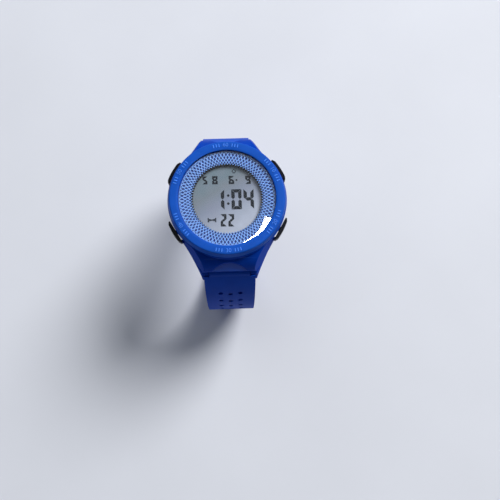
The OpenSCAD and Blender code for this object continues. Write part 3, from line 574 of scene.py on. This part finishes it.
def sinkDiamonds(shape, size):  # ribs and walls are narrower where the diamonds are smaller
    rows = {}
    for face in shape.faces:
        rows.setdefault(round(face.calc_center_median().xy.length, 1), []).append(face)
    for radius, row in rows.items():
        part = radius / size["lines"][0]
        bmesh.ops.inset_individual(shape, faces=row, thickness=size["rib"] * part, depth=0,
                                   use_even_offset=True)
        walls = bmesh.ops.inset_individual(shape, faces=row, thickness=size["wall"] * part,
                                           depth=-size["deep"], use_even_offset=True)["faces"]
        for face in row + walls:
            face.material_index = hollowSlot


def makeLattice(size):
    shape = diamondNet(size)
    sinkDiamonds(shape, size)
    halfway = (size["lines"][0] + size["lines"][-1]) / 2
    border = [e for e in shape.edges if e.is_boundary]
    window = [e for e in border if middle(e).xy.length < halfway]
    rim = [e for e in border if middle(e).xy.length > halfway]
    # the wall faces round the window take the near-black painted shade
    for v in growEdges(shape, window, windowShadeSlot)[0]:
        v.co.xy *= 1 - size["windowLean"] / size["inner"]
        v.co.z = size["floor"]
    rimOut, rimTop = size["rim"]
    for r, z in ((size["lines"][0], rimTop), (rimOut, rimTop), (rimOut, size["floor"])):
        verts, rim = growEdges(shape, rim, rimSlot)
        for v in verts:
            v.co = Vector((v.co.x, v.co.y, 0)).normalized() * r + zAxis * z
    bmesh.ops.bridge_loops(shape, edges=[e for e in shape.edges if e.is_boundary])
    faceOut(shape)
    finishPiece("dialRing", shape, "head",
                [ribLilac, hollowBlue, windowWallPaintedShade, bezelBlue], ["dial_ring"], sharp=28)


makeLattice(lattice)
print("dial ring made")

# Display: a glass panel under its film, with inked digits and signs

panel = {"side": 27.0, "corner": 5.6, "low": 8.0, "high": 9.6, "film": 0.5, "filmSlope": 0.03,
         "filmHeight": 0.02}


def makePanel(size):
    shape = bmesh.new()
    low, high = size["low"], size["high"]
    bmesh.ops.create_cube(shape, size=1, matrix=Matrix.Translation((0, 0, (low + high) / 2))
                          @ Matrix.Diagonal((size["side"], size["side"], high - low, 1)))
    upright = [e for e in shape.edges if abs(e.verts[0].co.z - e.verts[1].co.z) > tiny]
    bevelEdges(shape, upright, size["corner"], 1)
    top = [f for f in shape.faces if f.normal.z > 1 - tiny]
    for width in (size["film"], size["filmSlope"]):
        bmesh.ops.inset_region(shape, faces=top, thickness=width, depth=0)
    film = {v for f in top for v in f.verts}
    glass = [v for v in shape.verts if v.co.z > high - tiny and v not in film]
    bmesh.ops.translate(shape, vec=(0, 0, -size["filmHeight"]), verts=glass)
    finishPiece("displayPanel", shape, "head", [displayGrey], ["lcd_panel"], sharp=20)


ink = {"sunk": 0.005, "thick": 0.025}
inkLevel = panel["high"] - ink["sunk"]


def plate(shape, outline):  # a flat sign with this outline
    face = shape.faces.new([shape.verts.new((x, y, inkLevel)) for x, y in outline])
    top = bmesh.ops.extrude_face_region(shape, geom=[face], use_keep_orig=True)["geom"]
    bmesh.ops.translate(shape, vec=(0, 0, ink["thick"]), verts=only(bmesh.types.BMVert, top))


# A bar whose ends come to a point, or reach furthest on their left (1) or right (-1) edge
def bar(shape, start, end, width, mitres=(0, 0)):
    start, end = Vector(start), Vector(end)
    back = (end - start).normalized() * width / 2
    left = Vector((-back.y, back.x))
    outline = []
    for tip, inward, mitre in ((start, 1, mitres[0]), (end, -1, mitres[1])):
        corners = [tip + back * inward * (-1 if mitre == hand else 1) + left * hand
                   for hand in (inward, -inward)]
        outline += corners if mitre else [corners[0], tip, corners[1]]
    plate(shape, outline)


digitSizes = {"large": (3.9, 7.9, 1.3), "middling": (2.25, 4.8, 0.94),  # width, height, bar width
              "small": (2.1, 3.25, 0.76), "narrow": (1.85, 3.15, 0.74)}
digits = (("large", "1", -3.05, -0.05), ("large", "0", 3.55, -0.05), ("large", "4", 8.2, -0.05),
          ("middling", "2", -1.6, -8.1), ("middling", "2", 1.3, -8.2), ("small", "6", 1.8, 7.6),
          ("small", "9", 8.15, 7.45), ("narrow", "5", -8.32, 7.72), ("small", "8", -4.5, 7.7))
segmentPlaces = {  # middle, whether it stands upright, and mitres, in a cell from -1 to 1 each way
    "a": (0, 1, 0, (1, 1)), "b": (1, 0.5, 1, (0, -1)), "c": (1, -0.5, 1, (-1, 0)),
    "d": (0, -1, 0, (-1, -1)), "e": (-1, -0.5, 1, (1, 0)), "f": (-1, 0.5, 1, (0, 1)),
    "g": (0, 0, 0, (0, 0))}
segmentsOf = {"0": "abcdef", "1": "bc", "2": "abged", "4": "fgbc", "5": "afgcd", "6": "afgedc",
              "8": "abcdefg", "9": "abcdfg"}
segmentStyle = {"gap": 0.1, "fineBar": 0.75,  # bars up to fineBar wide leave no gap
                "dots": ((0.42, 1.5, 0.5), (0.38, -1.65, 0.5), (3.75, 7.55, 0.36)), "dotSides": 16}


def drawDigit(shape, text, x, y, width, height, thick, style):
    halfX, halfY = (width - thick) / 2, (height - thick) / 2
    gap = max(0, style["gap"] * (thick - style["fineBar"]))
    for letter in segmentsOf[text]:
        sideX, sideY, upright, mitres = segmentPlaces[letter]
        centre = Vector((x + sideX * halfX, y + sideY * halfY))
        reach = Vector((0, halfY / 2 - gap)) if upright else Vector((halfX - gap, 0))
        bar(shape, centre - reach, centre + reach, thick, mitres)


def makeSegments(style):
    shape = bmesh.new()
    for kind, text, x, y in digits:
        drawDigit(shape, text, x, y, *digitSizes[kind], style)
    for x, y, r in style["dots"]:
        middleOfDot = Matrix.Translation((x, y, inkLevel + ink["thick"] / 2))
        bmesh.ops.create_cone(shape, cap_ends=True, segments=style["dotSides"], radius1=r, radius2=r,
                              depth=ink["thick"], matrix=middleOfDot)
    faceOut(shape)
    finishPiece("displaySegments", shape, "head", [segmentInk], sharp=20)


signs = {"dumbbell": (-6.0, -7.9), "quarter": ((1.65, 0.85), (1.15, 0.85), (1.15, 0.5), (0.0, 0.22)),
         "bell": (((2.2, 10.45), (3.45, 10.45)), ((2.1, 10.6), (2.4, 11.6)),
                  ((3.55, 10.6), (3.25, 11.6)), ((2.5, 11.75), (3.15, 11.75))), "bellBar": 0.42}


def makeSigns(size):
    shape = bmesh.new()
    x0, y0 = size["dumbbell"]
    quarter = list(size["quarter"])  # mirrored to the left, and the half then turned to the bottom
    half = quarter + [(-x, y) for x, y in quarter[-2::-1]]
    plate(shape, [(x0 + x, y0 + y) for x, y in half + [(-x, -y) for x, y in half]])
    for start, end in size["bell"]:
        bar(shape, start, end, size["bellBar"])
    faceOut(shape)
    finishPiece("displaySigns", shape, "head", [paleInk], sharp=20)


makePanel(panel)
makeSegments(segmentStyle)
makeSigns(signs)
print("display made")

# Crystal: flat in the middle, easing down to its bevelled rim

crystal = {"radius": 18.9, "low": 11.95, "high": 12.95, "shoulder": 15.2, "drop": 0.24,
           "bevel": 0.2, "steps": 16}


def makeCrystal(size):
    inner, outer, steps = size["shoulder"], size["radius"], size["steps"]
    slope = [(inner + (outer - inner) * i / steps, size["high"] - size["drop"] * (i / steps) ** 2)
             for i in range(steps + 1)]
    points = [(0, size["low"]), (outer, size["low"])] + slope[::-1] + [(0, size["high"])]
    shape = ringProfile(points, closed=False)
    roundEdges(shape, size["bevel"], segments=3, angle=40)
    finishPiece("crystalGlassDisc", shape, "head", [crystalGlass], ["crystal"], sharp=30)


makeCrystal(crystal)
print("crystal made")

# Moulded and metal pieces that take the CAD node's form with rounded edges

cadCopy = {"mergeGap": 0.002, "flatAngle": 0.6}  # what joins a node's loose triangles, mm and degrees
facet = {"tilt": 34.0, "slack": 0.01}  # degrees from level, and how far a normal may be off


def isFacet(face):  # the flat arched facets at both hoods' edges
    normal, slack = face.normal, facet["slack"]
    across = math.sin(math.radians(facet["tilt"]))
    return abs(normal.x) < slack and abs(abs(normal.y) - across) < slack and normal.z > 0


def softCopy(name, node, body, finishes, width, segments=2, angle=32, isSecond=None):
    shape = bmesh.new()
    shape.from_mesh(cadNodes[node].data)
    bmesh.ops.scale(shape, vec=(1 / mm, 1 / mm, 1 / mm), verts=shape.verts[:])
    merge(shape, cadCopy["mergeGap"])
    bmesh.ops.dissolve_limit(shape, angle_limit=math.radians(cadCopy["flatAngle"]),
                             verts=shape.verts[:], edges=shape.edges[:])
    for face in shape.faces:
        face.material_index = 1 if isSecond and isSecond(face) else 0
    roundEdges(shape, width, segments, angle)
    finishPiece(name, shape, body, finishes, [node], even=True)


# the case takes the darker painted shade copy of the resin, its facets the paler painted light copy
softCopy("caseBody", "case_body", "head", [caseBluePaintedShade, facetBluePaintedLight], width=0.22,
         isSecond=isFacet)
# the straps and keeper take the darker painted shade copy of the resin
softCopy("strapLong", "strap_long", "long_strap", [strapBluePaintedShade], width=0.5, segments=3,
         angle=40)
softCopy("strapShort", "strap_short", "short_strap", [strapBluePaintedShade], width=0.3,
         segments=3, angle=40)
softCopy("strapKeeper", "strap_keeper", "keeper", [strapBluePaintedShade], width=0.5, segments=4)
softCopy("buckleFrame", "buckle_frame", "buckle", [buckleSteel], width=0.3,
         segments=3)
softCopy("buckleTongue", "buckle_tongue", "tongue", [buckleSteel], width=0.2,
         segments=3)
for place in buttonPlaces:
    words = [word.capitalize() for word in place.split("_")]
    softCopy("button" + "".join(words), "button_" + place, place + "_button",
             [buttonBlack], width=0.16, segments=3)
print("rounded pieces made")

# Floor and light, in metres

stage = {"size": 9.0, "segments": 4, "colour": (0.64, 0.67, 0.745), "shades": (0.98, 1.02),
         "mottleSize": 60.0,  # mm, as in every finish
         "roughness": 0.8, "room": (0.66, 0.69, 0.76), "fade": (0.3, 1.2),
         "world": (0.62, 0.66, 0.75), "worldLevel": 0.10}


def makeFloor(look):  # painted near the watch, and as pale as the room far from it
    floor = Finish("floorPaint")
    colour = floor.mottle(floor.noise(look["mottleSize"], 3), look["colour"], look["shades"])
    paint = floor.add("BsdfPrincipled", {}, {"Base Color": colour, "Roughness": look["roughness"]})
    far = floor.add("Emission", {}, {"Color": (*look["room"], 1), "Strength": 1.0})
    faded = floor.remap(floor.fromMiddle(), *look["fade"])
    finish = floor.show(floor.add("MixShader", {}, {0: faded, 1: paint, 2: far}))
    shape = bmesh.new()
    bmesh.ops.create_grid(shape, x_segments=look["segments"], y_segments=look["segments"],
                          size=look["size"] / 2, matrix=Matrix.Translation((0, 0, cadBox[0][2])))
    plane = makeObject("floor", shape, [finish])


def makeWorld(look):  # soft light from all round, which camera, gloss and glass see as a pale room
    world = Finish("studio", bpy.data.worlds, "World")
    light = world.add("Background", {}, {"Color": (*look["world"], 1), "Strength": look["worldLevel"]})
    room = world.add("Background", {}, {"Color": (*look["room"], 1)})
    seen = world.add("LightPath", output="Is Camera Ray")
    for ray in ("Is Glossy Ray", "Is Transmission Ray"):
        seen = seen.sum("MAXIMUM", world.add("LightPath", output=ray))
    scene.world = world.show(world.add("MixShader", {}, {0: seen, 1: light, 2: room}))


lamps = {
    "keyLamp": {"place": (1.08, 1.05, 1.62), "size": 1.10, "power": 62.0, "colour": (1.0, 0.98, 0.95),
                "inGloss": True},
    "softLamp": {"place": (-0.84, 1.20, 1.80), "size": 2.4, "power": 13.0, "colour": (0.92, 0.96, 1.0),
                 "inGloss": False}}


def makeLamp(name, look):  # a round soft lamp that points at the watch
    data = bpy.data.lights.new(name, "AREA")
    data.shape, data.size = "DISK", look["size"]
    data.energy, data.color = look["power"], look["colour"]
    lamp = bpy.data.objects.new(name, data)
    lamp.location = look["place"]
    lamp.visible_glossy = look["inGloss"]
    lamp.rotation_euler = (-Vector(look["place"])).to_track_quat("-Z", "Y").to_euler()
    scene.collection.objects.link(lamp)


windowCard = {"height": 1.5, "glow": 36.0,
              "over": (0.0135, -0.0110),  # its mirror image lies on the crystal's edge
              "corners": ((0.109, 0.194), (0.119, 0.153), (0.130, 0.105), (0.118, 0.060),
                          (0.090, 0.020), (0.067, -0.020), (0.076, -0.057), (0.134, -0.034),
                          (0.190, 0.002), (0.238, 0.051), (0.282, 0.115))}  # per metre of height


def makeWindowCard(look):  # a bright window above the watch that only gloss shows
    glow = Finish("windowGlow")
    finish = glow.show(glow.add("Emission", {}, {"Color": (1, 1, 1, 1), "Strength": look["glow"]}))
    shape = bmesh.new()
    height, (overX, overY) = look["height"], look["over"]
    shape.faces.new([shape.verts.new((overX + height * x, overY + height * y, height))
                     for x, y in look["corners"]])
    card = makeObject("windowCard", shape, [finish])
    card.visible_camera = card.visible_diffuse = False


makeFloor(stage)
makeWorld(stage)
for name, look in lamps.items():
    makeLamp(name, look)
makeWindowCard(windowCard)
print("stage lit")
